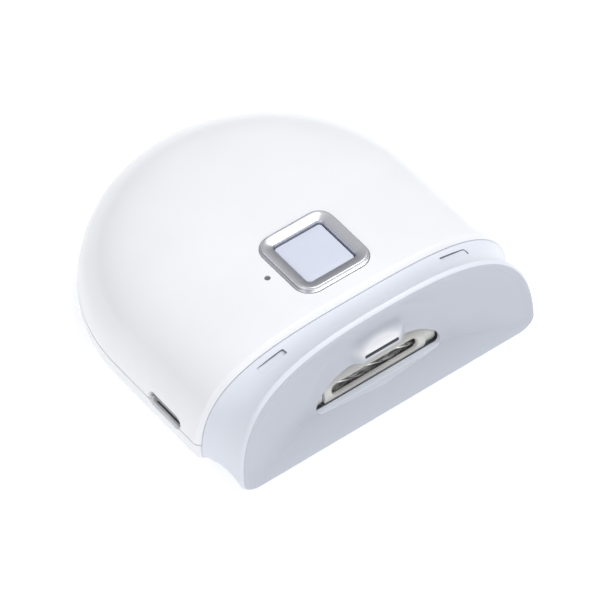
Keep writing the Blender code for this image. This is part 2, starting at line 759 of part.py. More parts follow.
# ---------------------------------------------------------------- cutter
def cutter_drum():
    """A fluted drum whose eight teeth wind along it."""
    flutes = 8
    steps = 12
    turn = math.radians(150)
    tooth = ((0.0, DRUM_RADIUS), (0.16, DRUM_RADIUS), (0.42, DRUM_RADIUS - 0.75),
             (0.80, DRUM_RADIUS - 0.55))
    rings = []
    for i in range(steps + 1):
        x = -DRUM_HALF + 2 * DRUM_HALF * i / steps
        ring = []
        for flute in range(flutes):
            for share, radius in tooth:
                angle = 2 * math.pi * (flute + share) / flutes + turn * i / steps
                ring.append((x, CUTTER[0] + radius * math.cos(angle),
                             CUTTER[1] + radius * math.sin(angle)))
        rings.append(ring)
    drum = loft(rings)
    pivot = (0.0, *CUTTER)
    hole = rod("X", CUTTER, SHAFT_RADIUS + RUNNING, -20, 20, 24)
    finish("cutter_drum", drum, dark_steel(), minus=[hole], axis_point=pivot)
    shaft = rod("X", CUTTER, SHAFT_RADIUS, -15.2, 19.2, 24)
    finish("cutter_shaft", shaft, steel(), axis_point=pivot)
    for side, way in (("left", -1), ("right", 1)):
        reach = sorted((way * (CHEEK_X[0] + 0.1), way * (CHEEK_X[1] - 0.1)))
        bearing = rod("X", CUTTER, BEARING_RADIUS, *reach, 24)
        bore = rod("X", CUTTER, SHAFT_RADIUS + RUNNING, -20, 20, 24)
        finish(f"bearing_{side}", bearing, steel(), minus=[bore])


def arc_band(centre, outer, inner, start, end, steps=14):
    """A curved strip as an outline in depth and height."""
    sweep = end - start
    band = circle(centre, outer, steps, start, sweep)
    return band + circle(centre, inner, steps, start, sweep)[::-1]


def cutter_guard():
    """A curved plate over the drum, open along a narrow window, on a screwed tab."""
    length = CHEEK_X[0] - 0.2
    inner = GUARD_RADIUS - GUARD_WALL
    band = arc_band(CUTTER, GUARD_RADIUS, inner, math.radians(90), math.radians(197))
    guard = prism("X", band, -length, length)
    roof = CUTTER[1] + GUARD_RADIUS
    rear = BULKHEAD[0] - GAP
    shelf = box((-length, length), (CUTTER[0] - 0.4, rear), (roof - GUARD_WALL, roof - 0.01))
    tab = box((-8.0, 8.0), (rear - 1.1, rear), (roof - GUARD_WALL, 15.6))
    window = prism("Z", rounded((-10.4, 10.4), (-1.3, 1.3), 1.28, 5), 0, 8)
    window.data.transform(Matrix.Translation((0, DEPTH / 2 * MM, 0)))
    window.data.transform(Matrix.Rotation(math.radians(78), 4, "X"))
    window.data.transform(Matrix.Translation(place(0, *CUTTER)))
    holes = [rod("Y", (x, 14.0), 0.9, 0, 30, 12) for x in (-6.0, 6.0)]
    finish("cutter_guard", guard, warm_grey_plastic(), plus=[shelf, tab], minus=[window] + holes)
    for number, x in enumerate((-6.0, 6.0), 1):
        screw(f"guard_screw_{number}", "Y", (x, 14.0), rear - 2.4, BULKHEAD[1] - 0.2, 1.5, 0.6, 1.0)


# ---------------------------------------------------------------- frame and motor
def bearing_cheek(low, high):
    """A bearing arm in front of the bulkhead."""
    nose = circle(CUTTER, CHEEK_RADIUS, 14, math.pi / 2, math.pi)
    outline = nose + [(BULKHEAD[0] + 0.5, CUTTER[1] - CHEEK_RADIUS),
                      (BULKHEAD[0] + 0.5, CUTTER[1] + CHEEK_RADIUS)]
    return prism("X", outline, low, high)


def drive_frame():
    body = half_outline(**BODY_OUTLINE)
    bulkhead = prism("Y", whole(inset(body, SKIRT_INSET)), *BULKHEAD)
    gear_gap = box((CHEEK_X[1], COVER_X[1] + 0.5), (0, 30), (-1, 20.6))
    finish("drive_frame", bulkhead, frame_plastic(), minus=[gear_gap])
    wall_low = BODY_BASE + WALL + GAP
    wall = box(CHEEK_X, (BULKHEAD[0] + 0.5, 39.8), (wall_low, BOARD_Z[0] - 0.4))
    plate = box((-14.0, CHEEK_X[1]), (BULKHEAD[0] + 0.5, 44.0), (wall_low, 4.1))
    joined = [wall, plate, bearing_cheek(*CHEEK_X), bearing_cheek(-CHEEK_X[1], -CHEEK_X[0])]
    ear = prism("X", rounded((7.7, 15.0), (9.0, 15.7), 1.6), *CHEEK_X)
    joined.append(ear)
    for depth, height in COVER_POSTS:
        joined.append(rod("X", (depth, height), 1.7, CHEEK_X[1] - 0.5, COVER_X[0] - 0.2, 14))
    joined.append(box((-5.0, 5.0), (8.0, BULKHEAD[0] + 0.5), (17.4, 18.6)))
    piece = bpy.data.objects["drive_frame"]
    for form in joined:
        modify(piece, form, "UNION")
    holes = [rod("X", CUTTER, BEARING_RADIUS + 0.15, -20, 20, 24),
             rod("X", MOTOR, 3.3, 5, 20, 24), rod("X", IDLER, SHAFT_RADIUS + 0.1, 5, 20, 20)]
    holes += [rod("X", post, 0.85, 15.8, 30, 10) for post in COVER_POSTS]
    holes += [rod("Y", (x, 14.0), 0.75, 10, 30, 10) for x in (-6.0, 6.0)]
    holes += [rod("Y", spot, MAGNET_RADIUS + 0.2, 10, BULKHEAD[0] + 1.5, 16) for spot in MAGNETS]
    holes.append(rod("Y", (-21.0, 15.0), 2.2, 10, 30, 12))
    for form in holes:
        modify(piece, form, "DIFFERENCE")


def gear_cover():
    front = (COVER_POSTS[0][0] - 3.2, COVER_POSTS[1][0] + 8.4)
    plate = prism("X", rounded(front, (3.3, 18.9), 2.6), *COVER_X)
    finish("gear_cover", plate, frame_plastic())
    piece = bpy.data.objects["gear_cover"]
    modify(piece, rod("X", IDLER, SHAFT_RADIUS + 0.1, 15, 30, 20), "DIFFERENCE")
    for number, post in enumerate(COVER_POSTS, 1):
        modify(piece, rod("X", post, 0.9, 15, 30, 12), "DIFFERENCE")
        screw(f"cover_screw_{number}", "X", post, COVER_X[1] + 1.2, 16.2, 1.5, 0.6, 1.0)
    pin = rod("X", IDLER, SHAFT_RADIUS, CHEEK_X[0] + 0.2, COVER_X[1] - 0.2, 24)
    finish("idler_pin", pin, steel())


def can_outline(grow=0.0):
    """A round can with flats above and below, as depth and height."""
    radius = MOTOR_RADIUS + grow
    flat = MOTOR_FLAT + grow
    turn = math.asin(flat / radius)
    right = circle(MOTOR, radius, 8, -turn, 2 * turn)
    return right + circle(MOTOR, radius, 8, math.pi - turn, 2 * turn)


def motor():
    can = prism("X", can_outline(), -9.6, 12.2)
    boss = rod("X", MOTOR, 3.0, 12.0, 13.6, 24)
    bore = rod("X", MOTOR, SHAFT_RADIUS + RUNNING, 10.5, 20, 24)
    finish("motor_can", can, steel(), plus=[boss], minus=[bore])
    cap = prism("X", can_outline(-0.3), -12.4, -9.8)
    tabs = []
    for depth in (MOTOR[0] - 4.5, MOTOR[0] + 4.5):
        tabs.append(box((-14.0, -12.0), (depth - 1.2, depth + 1.2), (MOTOR[1] - 0.3, MOTOR[1] + 0.3)))
    finish("motor_end_cap", cap, black_plastic(), plus=tabs)
    shaft = rod("X", MOTOR, SHAFT_RADIUS, 10.8, 19.2, 24)
    finish("motor_shaft", shaft, steel(), axis_point=(0.0, *MOTOR))
    strap = prism("X", can_outline(1.1), -3.0, 3.0)
    room = prism("X", can_outline(GAP), -5.0, 5.0)
    floor = box((-5, 5), (0, 60), (-5, 4.35))
    legs = box((-3.0, 3.0), (MOTOR[0] - 11.0, MOTOR[0] + 11.0), (4.35, 5.2))
    finish("motor_clamp", strap, steel(), plus=[legs], minus=[room, floor])


def work_light():
    board = box((-4.6, 4.6), (6.9, 14.2), (16.3, 17.15))
    finish("work_light_board", board, circuit_board())
    led = box((-1.7, 1.7), (7.0, 9.6), (15.1, 16.1))
    finish("work_light_led", led, clear_plastic())
    lens = box((-4.9, 4.9), (LENS_DEPTH, LENS_DEPTH + 0.5), (14.6, 16.7))
    finish("work_light_lens", lens, clear_plastic())


def main():
    for obj in list(bpy.data.objects):
        bpy.data.objects.remove(obj, do_unlink=True)
    top_shell()
    bottom_shell()
    feet()
    shell_screws()
    front_cap()
    magnets()
    button_bezel()
    power_button()
    switch_parts()
    main_board()
    charging_port()
    battery()
    gears()
    cutter_drum()
    cutter_guard()
    drive_frame()
    gear_cover()
    motor()
    work_light()


main()
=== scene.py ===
"""The looks of the electric nail trimmer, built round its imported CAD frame.

Lengths are in millimetres.  A point is given as x, depth and z, where depth is measured
backwards from the front rim, so place() turns it into the frame's metres.
"""
import json
import math

import bmesh
import bpy
from mathutils import Matrix, Vector


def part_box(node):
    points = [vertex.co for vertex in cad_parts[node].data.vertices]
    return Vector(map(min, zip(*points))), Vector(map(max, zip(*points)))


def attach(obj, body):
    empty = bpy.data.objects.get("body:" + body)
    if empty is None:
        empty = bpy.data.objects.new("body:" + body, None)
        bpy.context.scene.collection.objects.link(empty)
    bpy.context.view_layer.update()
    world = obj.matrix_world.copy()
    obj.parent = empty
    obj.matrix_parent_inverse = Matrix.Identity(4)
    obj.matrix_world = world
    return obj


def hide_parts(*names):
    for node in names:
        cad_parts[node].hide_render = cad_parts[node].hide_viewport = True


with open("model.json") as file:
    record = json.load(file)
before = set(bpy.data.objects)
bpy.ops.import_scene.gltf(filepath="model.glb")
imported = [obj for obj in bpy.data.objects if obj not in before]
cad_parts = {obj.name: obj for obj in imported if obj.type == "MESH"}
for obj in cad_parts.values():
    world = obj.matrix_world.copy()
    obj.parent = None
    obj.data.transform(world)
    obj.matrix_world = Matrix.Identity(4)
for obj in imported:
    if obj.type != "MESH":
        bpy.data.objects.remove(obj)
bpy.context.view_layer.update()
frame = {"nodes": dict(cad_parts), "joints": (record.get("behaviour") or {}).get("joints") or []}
MM = 0.001
FRONT_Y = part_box("front_cap")[0].y


def place(x, s, z):
    """The frame's point for x, depth and z."""
    return Vector((x * MM, FRONT_Y + s * MM, z * MM))


def extent(node):
    """A CAD node's lowest and highest corner as x, depth and z."""
    return [Vector((c.x, c.y - FRONT_Y, c.z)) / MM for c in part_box(node)]


def middle(node):
    low, high = extent(node)
    return (low + high) / 2


def joint_axis(name):
    """Depth and height of a turning joint's axis."""
    joint = next(j for j in frame["joints"] if j["name"] == name)
    return ((joint["pos_m"][1] - FRONT_Y) / MM, joint["pos_m"][2] / MM)


# Sizes read from the frame
TOP_LOW, TOP_HIGH = extent("top_shell")
CAP_LOW, CAP_HIGH = extent("front_cap")
RING_LOW, RING_HIGH = extent("button_bezel")
BUTTON_LOW, BUTTON_HIGH = extent("power_button")
GUARD_HIGH = extent("cutter_guard")[1]
DRUM_HIGH = extent("cutter_drum")[1]
LENS_LOW = extent("work_light_lens")[0]
RING_CENTRE = middle("button_bezel")
PORT_CENTRE = middle("charging_port_shell")
LED_CENTRE = middle("indicator_light_pipe")
CUTTER = joint_axis("cutter_spin")
HALF = TOP_HIGH.x
BODY_FRONT = TOP_LOW.y
BACK_CENTRE = TOP_HIGH.y - HALF
BODY_TOP = TOP_HIGH.z
BODY_BASE = extent("bottom_shell")[0].z
GAP = 0.3                   # clearance between neighbouring plastic parts
SPLIT_Z = TOP_LOW.z - GAP / 2
WALL = 2.0

# The driving shape of the two cross-sections, as in the CAD model
BODY_OUTLINE = dict(half=HALF, top=BODY_TOP, base=BODY_BASE, widest=4.6, rise=19.6,
                    crown=20.0, flat=34.5, lower=2.0, drop=3.0)
RIM_OUTLINE = dict(half=35.9, top=CAP_HIGH.z, base=CAP_LOW.z, widest=3.5,
                   rise=22.6, crown=17.5, flat=31.5, lower=2.0, drop=2.25)
CAVITY_OUTLINE = dict(half=HALF - 3.4, top=BODY_TOP - 3.4, base=BODY_BASE + 3.4, widest=6.5,
                      rise=16.0, crown=20.0, flat=27.0, lower=5.5, drop=1.6)
OUTLINE_LOW = 14            # points round the lower corner of a half outline
OUTLINE_TOP = 34            # points along its upper curve
BACK_STEPS = 72             # steps round the half-round back
NECK_INSET = 1.0            # the step from the body's outline in to the cap's neck
SKIRT_INSET = WALL + GAP
SKIRT_END = CAP_HIGH.y
RIM_TILT = 0.10             # how far the rim leans back for each unit of height
RIM_INNER = 1.9             # width of the rim's face
RIM_CREST = 0.95            # where across that face it stands foremost
FLARE_END = 0.9             # depth at which the flare turns over into the rim
SCOOP_RADIUS = 18.0
SCOOP_BASE = 5.9
SCOOP_STEP = 1.1            # height of the step along the scoop's arch
FLOOR_DEPTH = 4.4
FLOOR_TILT = 0.07
FLOOR_WALL = 1.0
SLOT_HALF = 15.2
SLOT_TOP = 14.2
SLOT_EDGE = 0.45            # radius of the slot's front edge
CAVITY_BASE = 2.7           # top of the cap's lower wall
CAVITY_HALF = 21.2          # half width of the room over that wall
HOOD_REACH = 1.75           # how far the work light's brow stands forward
HOOD_SIDES = (4.2, 7.0)     # across, it falls away between these
HOOD_HEIGHTS = (16.6, 20.4)
SLIT_HALF = 4.1             # the work light's slit in the brow
SLIT_HEIGHTS = (15.15, 16.05)
MARK_X = 22.0
MARK_DEPTH = BODY_FRONT - 2.4
MARK_HALF = (3.2, 0.85)
MARK_SINK = 0.5
MAGNET_BOSS = 3.1
MAGNET_POCKET = 2.2
MAGNET_FACE = SKIRT_END - 1.1
MAGNET_LENGTH = 2.0
GUARD_RADIUS = 4.6
GUARD_WALL = 0.9
GUARD_ARC = (90, 197)       # degrees round the cutter's axis
WINDOW_HALF = (10.4, 1.3)   # the slot in the guard
WINDOW_TURN = 78            # degrees from upright to the front
CHEEK_X = 12.5
PORT_HALF = (4.9, 1.35)
PORT_CORNER = 1.3
LIGHT_PIPE_HOLE = 0.62
FOOT_RECESS = 3.8
SCREW_HEAD_HOLE = 2.4
SCREW_HOLE = 1.25
RING_HALF = RING_HIGH.x
RING_CORE = 4.9             # half the straight part of each side of the ring
RING_WINDOW = 5.95
COLLAR_HALF = 6.5
BUTTON_HALF = 5.65
BUTTON_FLANGE = 6.3
FLANGE_HEIGHT = 0.5


# ---------------------------------------------------------------- node materials
class Recipe:
    """A Principled material whose nodes are added one by one."""

    def __init__(self, name, roughness, metallic=0.0):
        self.material = bpy.data.materials.new(name)
        self.material.use_nodes = True
        self.tree = self.material.node_tree
        self.shader = self.tree.nodes["Principled BSDF"]
        self.shader.inputs["Roughness"].default_value = roughness
        self.shader.inputs["Metallic"].default_value = metallic
        self.coords = self.tree.nodes.new("ShaderNodeTexCoord").outputs["Object"]

    def set(self, **values):
        for name, value in values.items():
            self.shader.inputs[name.replace("_", " ")].default_value = value

    def noise(self, scale, detail=3.0, stretch=(1.0, 1.0, 1.0)):
        mapping = self.tree.nodes.new("ShaderNodeMapping")
        mapping.inputs["Scale"].default_value = stretch
        self.tree.links.new(self.coords, mapping.inputs["Vector"])
        node = self.tree.nodes.new("ShaderNodeTexNoise")
        node.inputs["Scale"].default_value = scale
        node.inputs["Detail"].default_value = detail
        self.tree.links.new(mapping.outputs["Vector"], node.inputs["Vector"])
        return node.outputs["Fac"]

    def colour(self, factor, first, second, low=0.35, high=0.65):
        ramp = self.tree.nodes.new("ShaderNodeValToRGB")
        ramp.color_ramp.elements[0].position = low
        ramp.color_ramp.elements[1].position = high
        ramp.color_ramp.elements[0].color = (*first, 1.0)
        ramp.color_ramp.elements[1].color = (*second, 1.0)
        self.tree.links.new(factor, ramp.inputs["Fac"])
        self.tree.links.new(ramp.outputs["Color"], self.shader.inputs["Base Color"])

    def roughness(self, factor, low, high):
        spread = self.tree.nodes.new("ShaderNodeMapRange")
        spread.inputs["To Min"].default_value = low
        spread.inputs["To Max"].default_value = high
        self.tree.links.new(factor, spread.inputs["Value"])
        self.tree.links.new(spread.outputs["Result"], self.shader.inputs["Roughness"])

    def bump(self, factor, height, strength=1.0):
        """Height is in millimetres; a second bump adds to the first."""
        node = self.tree.nodes.new("ShaderNodeBump")
        node.inputs["Strength"].default_value = strength
        node.inputs["Distance"].default_value = height * MM
        self.tree.links.new(factor, node.inputs["Height"])
        before = self.shader.inputs["Normal"].links
        if before:
            self.tree.links.new(before[0].from_socket, node.inputs["Normal"])
        self.tree.links.new(node.outputs["Normal"], self.shader.inputs["Normal"])


def shade(colour, factor):
    """A colour made lighter or darker."""
    return tuple(min(c * factor, 1.0) for c in colour)


def moulded_plastic(name, colour, roughness, grain=0.0012, grain_scale=2600.0, coat=0.0):
    """Moulded plastic: faint flow variation, an uneven gloss and a fine grain."""
    recipe = Recipe(name, roughness)
    recipe.colour(recipe.noise(60.0), shade(colour, 0.985), shade(colour, 1.01))
    recipe.roughness(recipe.noise(220.0), roughness - 0.04, roughness + 0.04)
    recipe.bump(recipe.noise(grain_scale, 2.0), grain)
    recipe.bump(recipe.noise(120.0, 1.0), 0.012)
    recipe.set(Coat_Weight=coat, Coat_Roughness=0.12)
    return recipe.material


def brushed_metal(name, colour, roughness, stretch=(1.0, 12.0, 12.0), grain=0.004, spread=0.07):
    """Metal with fine brush lines along one axis, or an even grain if stretched evenly."""
    recipe = Recipe(name, roughness, 1.0)
    lines = recipe.noise(700.0, 4.0, stretch)
    recipe.colour(recipe.noise(90.0), shade(colour, 0.94), shade(colour, 1.04))
    recipe.roughness(lines, roughness - spread, roughness + spread)
    recipe.bump(lines, grain)
    return recipe.material


def board_material():
    """Green solder mask over copper tracks, drawn by a fine brick pattern."""
    recipe = Recipe("solder_mask_green", 0.38)
    bricks = recipe.tree.nodes.new("ShaderNodeTexBrick")
    bricks.inputs["Scale"].default_value = 260.0
    bricks.inputs["Mortar Size"].default_value = 0.035
    bricks.inputs["Color1"].default_value = (0.012, 0.13, 0.05, 1.0)
    bricks.inputs["Color2"].default_value = (0.015, 0.16, 0.065, 1.0)
    bricks.inputs["Mortar"].default_value = (0.05, 0.30, 0.12, 1.0)
    recipe.tree.links.new(recipe.coords, bricks.inputs["Vector"])
    recipe.tree.links.new(bricks.outputs["Color"], recipe.shader.inputs["Base Color"])
    recipe.bump(bricks.outputs["Fac"], 0.02)
    recipe.bump(recipe.noise(1500.0), 0.002)
    return recipe.material


def clear_material():
    recipe = Recipe("clear_diffuser", 0.25)
    recipe.colour(recipe.noise(300.0), (0.80, 0.83, 0.88), (0.90, 0.92, 0.95))
    recipe.bump(recipe.noise(1800.0), 0.003)
    recipe.set(Transmission_Weight=0.55, IOR=1.49)
    return recipe.material


def scoop_material():
    """Lavender plastic, darker than the cap's outside, with a painted highlight: a pale patch round
    the work light's brow.
    """
    recipe = Recipe("satin_lavender_scoop_painted_highlight", 0.46)
    mapping = recipe.tree.nodes.new("ShaderNodeMapping")
    mapping.vector_type = "TEXTURE"
    mapping.inputs["Location"].default_value = place(0.0, 3.4, 16.9)
    mapping.inputs["Scale"].default_value = (8.0 * MM, 9.0 * MM, 2.9 * MM)
    recipe.tree.links.new(recipe.coords, mapping.inputs["Vector"])
    # Painted highlight: a soft round patch centred on the brow, pale at its middle and fading out
    # to the darker base.
    spot = recipe.tree.nodes.new("ShaderNodeTexGradient")
    spot.gradient_type = "QUADRATIC_SPHERE"
    recipe.tree.links.new(mapping.outputs["Vector"], spot.inputs["Vector"])
    recipe.colour(spot.outputs["Fac"], (0.525, 0.55, 0.61), (0.86, 0.87, 0.89), 0.0, 0.30)
    recipe.roughness(recipe.noise(220.0), 0.42, 0.50)
    recipe.bump(recipe.noise(2600.0, 2.0), 0.002)
    recipe.bump(recipe.noise(120.0, 1.0), 0.012)
    return recipe.material


def cutter_material():
    """Dark ground steel with fine grinding lines along the flutes."""
    recipe = Recipe("ground_cutter_steel", 0.32, 0.4)
    lines = recipe.noise(900.0, 3.0, (0.25, 3.0, 3.0))
    recipe.colour(lines, (0.16, 0.155, 0.155), (0.62, 0.61, 0.60), 0.42, 0.58)
    recipe.roughness(lines, 0.24, 0.42)
    recipe.bump(lines, 0.02)
    return recipe.material


WHITE = moulded_plastic("gloss_white_shell", (0.875, 0.885, 0.91), 0.30, coat=0.25)
CAP = moulded_plastic("satin_lavender_cap", (0.745, 0.775, 0.845), 0.40)
CAP_INSIDE = scoop_material()
# Painted shade: a dark grey put on the walls of the cap's marks and of the work light's slit, where
# shade falls.
PAINTED_RECESS_SHADE = moulded_plastic("painted_recess_shade", (0.20, 0.205, 0.235), 0.55, 0.002)
BUTTON = moulded_plastic("satin_button", (0.66, 0.69, 0.80), 0.42, 0.002)
GUARD = moulded_plastic("warm_grey_guard", (0.70, 0.695, 0.66), 0.32, 0.002)
FRAME_PLASTIC = moulded_plastic("pale_grey_frame", (0.76, 0.765, 0.73), 0.42, 0.003)
ACETAL = moulded_plastic("ivory_acetal", (0.80, 0.79, 0.73), 0.40, 0.002)
BLACK = moulded_plastic("black_nylon", (0.018, 0.018, 0.02), 0.42, 0.004)
RUBBER = moulded_plastic("grey_rubber_foot", (0.24, 0.24, 0.26), 0.82, 0.012, 1500.0)
FOAM = moulded_plastic("grey_foam_pad", (0.11, 0.11, 0.12), 0.95, 0.08, 900.0)
WRAP = moulded_plastic("blue_cell_wrap", (0.05, 0.17, 0.45), 0.28, 0.006, 500.0)
SMOKED = moulded_plastic("smoked_light_pipe", (0.16, 0.165, 0.18), 0.25)
DARK_LENS = moulded_plastic("smoked_work_lens", (0.035, 0.035, 0.04), 0.30)
CHROME = brushed_metal("satin_chrome_bezel", (0.76, 0.77, 0.80), 0.26, (1.0, 1.0, 1.0),
                       grain=0.0001, spread=0.02)
STEEL = brushed_metal("brushed_steel", (0.52, 0.52, 0.53), 0.30)
DARK_STEEL = brushed_metal("blackened_steel", (0.035, 0.035, 0.038), 0.42)
NICKEL = brushed_metal("nickel_plate", (0.66, 0.64, 0.60), 0.22, (3.0, 3.0, 3.0), 0.002)
BOARD = board_material()
CLEAR = clear_material()
CUTTER_STEEL = cutter_material()
CUTTING_EDGE = brushed_metal("polished_cutting_edge", (0.86, 0.85, 0.84), 0.24)


# ---------------------------------------------------------------- mesh helpers
def make_object(name, bm, material=None):
    bmesh.ops.recalc_face_normals(bm, faces=bm.faces)
    mesh = bpy.data.meshes.new(name)
    bm.to_mesh(mesh)
    bm.free()
    obj = bpy.data.objects.new(name, mesh)
    bpy.context.scene.collection.objects.link(obj)
    if material:
        mesh.materials.append(material)
    return obj


def soften(obj, angle):
    """Shade smoothly, and leave edges that turn more than an angle in degrees crisp."""
    obj.data.shade_smooth()
    obj.data.set_sharp_from_angle(angle=math.radians(angle))


def rings_to_bmesh(rings, closed=False):
    """A skin over rings of equally many points, capped at both ends unless it closes."""
    bm = bmesh.new()
    loops = [[bm.verts.new(place(*point)) for point in ring] for ring in rings]
    pairs = list(zip(loops, loops[1:]))
    if closed:
        pairs.append((loops[-1], loops[0]))
    else:
        bm.faces.new(loops[0])
        bm.faces.new(loops[-1])
    for first, second in pairs:
        for i in range(len(first)):
            j = (i + 1) % len(first)
            bm.faces.new((first[i], first[j], second[j], second[i]))
    return bm


def loft(rings):
    """A form for a Boolean, which apply_booleans removes again."""
    return make_object("cut_form", rings_to_bmesh(rings))


def prism(axis, outline, low, high):
    """A form of one outline, drawn out along an axis from low to high."""
    order = {"X": lambda a, b, t: (t, a, b), "Y": lambda a, b, t: (a, t, b),
             "Z": lambda a, b, t: (a, b, t)}[axis]
    return loft([[order(a, b, t) for a, b in outline] for t in (low, high)])


def box(x, s, z):
    return prism("Z", [(x[0], s[0]), (x[1], s[0]), (x[1], s[1]), (x[0], s[1])], *z)


def circle(centre, radius, sides, start=0.0, sweep=2 * math.pi):
    steps = sides if sweep == 2 * math.pi else sides + 1
    return [(centre[0] + radius * math.cos(start + sweep * i / sides),
             centre[1] + radius * math.sin(start + sweep * i / sides)) for i in range(steps)]


def rounded(a, b, radius, steps=10):
    """A rectangle between the pairs a and b, with round corners."""
    points = []
    corners = ((a[1] - radius, b[1] - radius), (a[0] + radius, b[1] - radius),
               (a[0] + radius, b[0] + radius), (a[1] - radius, b[0] + radius))
    for quarter, corner in enumerate(corners):
        points += circle(corner, radius, steps, quarter * math.pi / 2, math.pi / 2)
    return points


def rod(axis, centre, radius, low, high, sides=40):
    return prism(axis, circle(centre, radius, sides), low, high)


def apply_booleans(obj, steps):
    """Cut or join the forms one after the other, and keep only the result."""
    for operation, form in steps:
        step = obj.modifiers.new("step", "BOOLEAN")
        step.operation = operation
        step.object = form
        step.solver = "EXACT"
    bpy.context.view_layer.update()
    graph = bpy.context.evaluated_depsgraph_get()
    result = bpy.data.meshes.new_from_object(obj.evaluated_get(graph))
    obj.modifiers.clear()
    obj.data = result
    for operation, form in steps:
        bpy.data.objects.remove(form)


def settle(obj, body, node, crisp):
    """Shade a finished piece and tie it to its body and the node it replaces."""
    soften(obj, crisp)
    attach(obj, body)
    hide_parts(node)


# ---------------------------------------------------------------- D-shaped outlines
def bezier(p0, p1, p2, p3, steps):
    """Points along a cubic curve, without its first one."""
    points = []
    for i in range(1, steps + 1):
        t = i / steps
        u = 1 - t
        points.append(tuple(u ** 3 * a + 3 * u * u * t * b + 3 * u * t * t * c + t ** 3 * d
                            for a, b, c, d in zip(p0, p1, p2, p3)))
    return points


def half_outline(half, top, base, widest, rise, crown, flat, lower, drop):
    """The right half of a cross-section as (x, z), from its base up to its top."""
    points = [(0.0, base), (flat, base)]
    points += bezier((flat, base), (flat + lower, base), (half, widest - drop),
                     (half, widest), OUTLINE_LOW)
    points += bezier((half, widest), (half, widest + rise), (crown, top), (0.0, top),
                     OUTLINE_TOP)
    return points


def inset(points, distance):
    """A half outline moved inwards, with its ends kept on the middle line."""
    moved = []
    last = len(points) - 1
    for i, (x, z) in enumerate(points):
        before = points[max(i - 1, 0)]
        after = points[min(i + 1, last)]
        along = Vector((after[0] - before[0], after[1] - before[1])).normalized()
        moved.append((x - along.y * distance if 0 < i < last else x,
                      z + along.x * distance if i else z + distance))
    return moved


def whole(points):
    """Close a half outline with its mirror image."""
    return points + [(-x, z) for x, z in points[-2:0:-1]]


def cut_at(points, height, above):
    """The stretch of a half outline above or below a height, ending exactly on it."""
    side = [p for p in points if (p[1] > height) == above]
    for first, second in zip(points, points[1:]):
        if (first[1] > height) != (second[1] > height):
            share = (height - first[1]) / (second[1] - first[1])
            edge = (first[0] + (second[0] - first[0]) * share, height)
    return [edge] + side if above else side + [edge]


# ---------------------------------------------------------------- shells
LIP = ((0.0, 0.80), (0.10, 0.66), (0.80, 0.10), (0.95, 0.02), (1.2, 0.0))   # depth, inset
SECTION_POINTS = 56
STRAIGHT_STEPS = 10
SHELL_WELD = 0.002 * MM


def shell_section(above, distance):
    """The outer or inner stretch of the body's outline on one side of the split."""
    edge = SPLIT_Z + GAP / 2 if above else SPLIT_Z - GAP / 2
    return cut_at(inset(half_outline(**BODY_OUTLINE), distance), edge, above)


def resample(points, count):
    """The same line with a given number of points, evenly spread along its length."""
    lengths = [0.0]
    for a, b in zip(points, points[1:]):
        lengths.append(lengths[-1] + math.dist(a, b))
    result = []
    for i in range(count):
        target = lengths[-1] * i / (count - 1)
        k = max(j for j in range(len(lengths) - 1) if lengths[j] <= target + 1e-9)
        share = (target - lengths[k]) / max(lengths[k + 1] - lengths[k], 1e-9)
        share = min(max(share, 0.0), 1.0)
        result.append(tuple(a + (b - a) * share for a, b in zip(points[k], points[k + 1])))
    return result


def shell_loop(above, lip):
    """A closed wall section: along the outside, then back along the inside."""
    outer = resample(shell_section(above, lip), SECTION_POINTS)
    inner = resample(shell_section(above, WALL), SECTION_POINTS)
    return outer + inner[::-1]


def round_the_back(rows, section):
    """Go on from the right side's rows round the back, and forward along the left side."""
    back = []
    for i in range(1, BACK_STEPS):
        turn = math.pi * i / BACK_STEPS
        back.append([(x * math.cos(turn), BACK_CENTRE + x * math.sin(turn), z)
                     for x, z in section])
    left = [[(-x, s, z) for x, s, z in row] for row in rows]
    return rows + back + left[::-1]


def shell_body(name, above):
    """A shell with a wall, swept straight back and round the half-round end."""
    bm = bmesh.new()
    rows = []
    for depth, lip in LIP:
        rows.append([(x, BODY_FRONT + depth, z) for x, z in shell_loop(above, lip)])
    section = shell_loop(above, 0.0)
    start = BODY_FRONT + LIP[-1][0]
    for i in range(1, STRAIGHT_STEPS + 1):
        depth = start + (BACK_CENTRE - start) * i / STRAIGHT_STEPS
        rows.append([(x, depth, z) for x, z in section])
    grid = [[bm.verts.new(place(*point)) for point in row]
            for row in round_the_back(rows, section)]
    count = len(section)
    on_middle_line = SECTION_POINTS - 1 if above else count - 1
    for first, second in zip(grid, grid[1:]):
        for i in range(count):
            if i == on_middle_line:
                continue
            j = (i + 1) % count
            bm.faces.new((first[i], first[j], second[j], second[i]))
    for row in (grid[0], grid[-1]):
        for i in range(SECTION_POINTS - 1):
            bm.faces.new((row[i], row[i + 1], row[count - 2 - i], row[count - 1 - i]))
    bmesh.ops.remove_doubles(bm, verts=bm.verts, dist=SHELL_WELD)
    bmesh.ops.dissolve_degenerate(bm, edges=bm.edges, dist=SHELL_WELD)
    return make_object(name, bm, WHITE)


def port_forms():
    """The port's opening and the soft chamfer round it."""
    length, height = PORT_HALF

    def outline(grow):
        return rounded((PORT_CENTRE.y - length - grow, PORT_CENTRE.y + length + grow),
                       (PORT_CENTRE.z - height - grow, PORT_CENTRE.z + height + grow),
                       PORT_CORNER + grow)

    hole = prism("X", outline(0.0), -HALF - 3, -HALF + WALL + 2)
    bowl = []
    for step in range(7):
        t = step / 6
        x = -HALF + 1.0 - 2.2 * t
        bowl.append([(x, s, z) for s, z in outline(1.15 * t ** 1.4)])
    return hole, loft(bowl)


def square(half, steps=12):
    """A square with corners of one centre, whatever its size."""
    return rounded((-half, half), (-half, half), half - RING_CORE, steps)


def ring_square(half, low, high):
    outline = [(x, RING_CENTRE.y + y) for x, y in square(half)]
    return prism("Z", outline, low, high)


